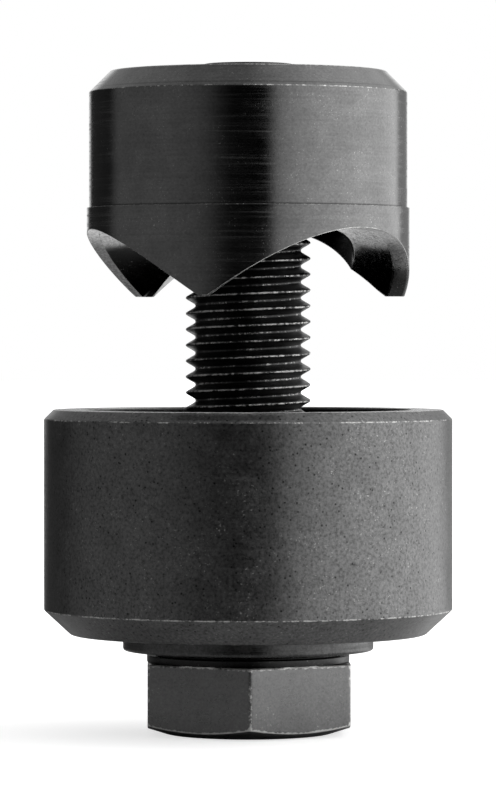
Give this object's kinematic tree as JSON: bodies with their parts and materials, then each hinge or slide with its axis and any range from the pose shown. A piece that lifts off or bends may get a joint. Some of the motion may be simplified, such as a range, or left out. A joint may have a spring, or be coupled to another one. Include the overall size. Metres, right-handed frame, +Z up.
{
  "type": "knockout punch",
  "caption": "Screw-drawn punch and cup die that cut a round hole in sheet metal: hex head, thrust bearing, die, threaded screw and pointed cutting crown on one axis.",
  "frame": {"origin": "centre of the flat end face of the screw's hex head, on which the tool stands", "axes": "+Z up along the screw, from the head through the die to the punch; -Y faces the picture's viewer"},
  "size_m": [0.0518, 0.0518, 0.0848],
  "materials": {
    "black_oxide_punch": "black oxide, ground and semi-gloss",
    "black_oxide_die": "black oxide, turned, satin with a fine grain",
    "black_oxide_screw": "black oxide, satin, lightly oiled",
    "black_oxide_ring": "black oxide, satin",
    "bearing_steel": "ground and polished",
    "cage_brass": "stamped, matt"
  },
  "bodies": {
    "screw": {"draw_screw": "black_oxide_screw", "bearing_lower_race": "black_oxide_ring"},
    "cage": {"ball_cage": "cage_brass", "ball_01": "bearing_steel", "ball_02": "bearing_steel", "ball_03": "bearing_steel", "ball_04": "bearing_steel", "ball_05": "bearing_steel", "ball_06": "bearing_steel", "ball_07": "bearing_steel", "ball_08": "bearing_steel", "ball_09": "bearing_steel", "ball_10": "bearing_steel", "ball_11": "bearing_steel", "ball_12": "bearing_steel"},
    "upper_race": {"bearing_upper_race": "bearing_steel"},
    "die": {"die": "black_oxide_die"},
    "punch": {"punch": "black_oxide_punch"}
  },
  "joints": [
    {"name": "feed_turn", "type": "hinge", "parent": "screw", "child": "upper_race", "pos_m": [0, 0, 0.0196], "axis": [0, 0, -1], "range_deg": [-2880, 4320]},
    {"name": "cage_turn", "type": "hinge", "parent": "screw", "child": "cage", "pos_m": [0, 0, 0.01515], "axis": [0, 0, -1], "range_deg": [-1440, 2160]},
    {"name": "punch_feed", "type": "slide", "parent": "upper_race", "child": "punch", "axis": [0, 0, -1], "range_m": [-0.016, 0.024]},
    {"name": "die_lift", "type": "slide", "parent": "upper_race", "child": "die", "axis": [0, 0, 1], "range_m": [0, 0.005]}
  ],
  "couplings": [
    {"joint": "cage_turn", "follows": "feed_turn", "ratio": 0.5},
    {"joint": "punch_feed", "follows": "feed_turn", "m_per_rad": 0.00031831}
  ]
}
